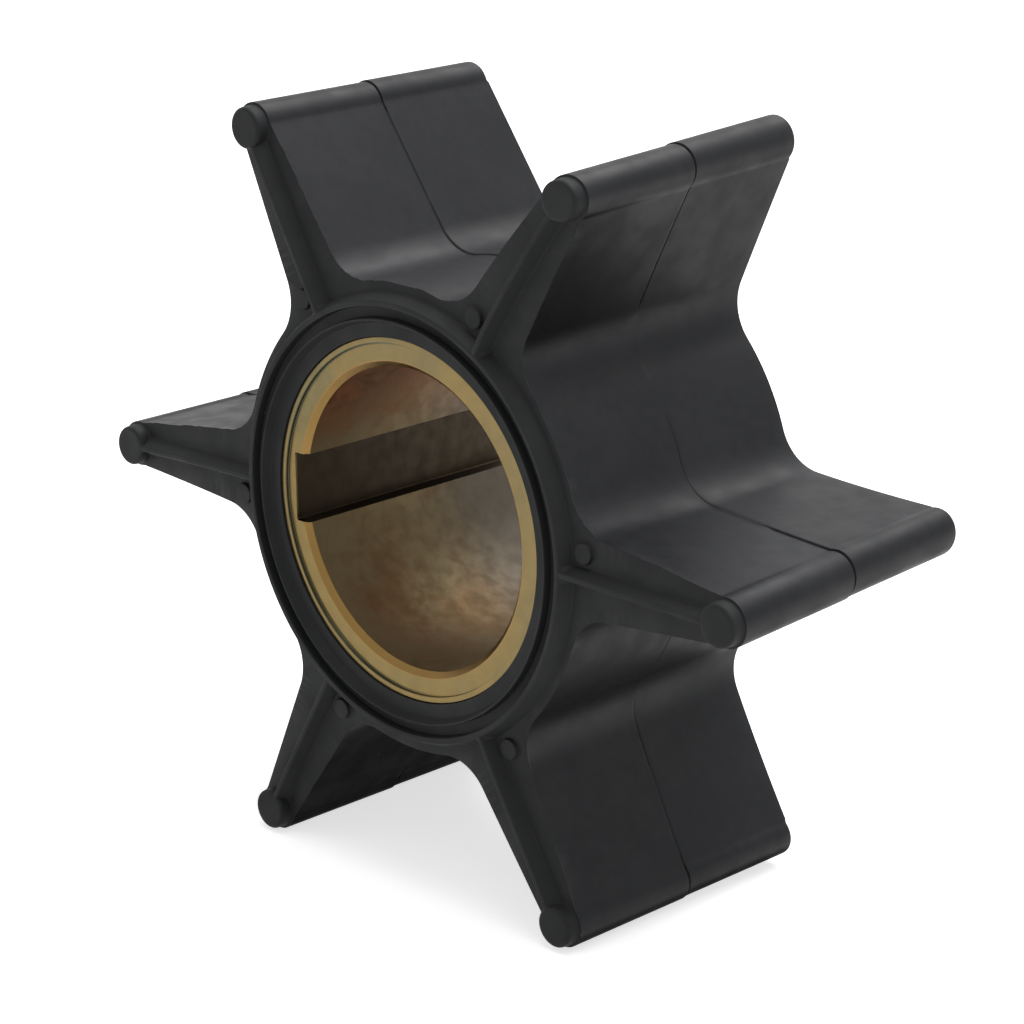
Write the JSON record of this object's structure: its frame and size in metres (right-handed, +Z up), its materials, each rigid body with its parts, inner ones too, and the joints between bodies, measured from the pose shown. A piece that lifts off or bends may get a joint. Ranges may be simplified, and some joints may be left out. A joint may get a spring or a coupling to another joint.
{
  "type": "pump impeller",
  "caption": "Flexible rubber pump impeller with straight beaded vanes, ribbed end faces and a raised sealing rim, moulded on a keyed brass hub.",
  "frame": {"origin": "on the shaft axis, midway between the two ends of the hub", "axes": "+Y along the shaft axis, away from the end with the studs and pips, which faces -Y; +Z up between two vanes; +X along a vane, and the keyway is on the -X side"},
  "size_m": [0.064, 0.0236, 0.0559],
  "materials": {
    "rubber": "satin, as moulded",
    "brass": "turned"
  },
  "bodies": {
    "root": {"rubber_vanes": "rubber", "brass_hub": "brass"}
  },
  "joints": []
}
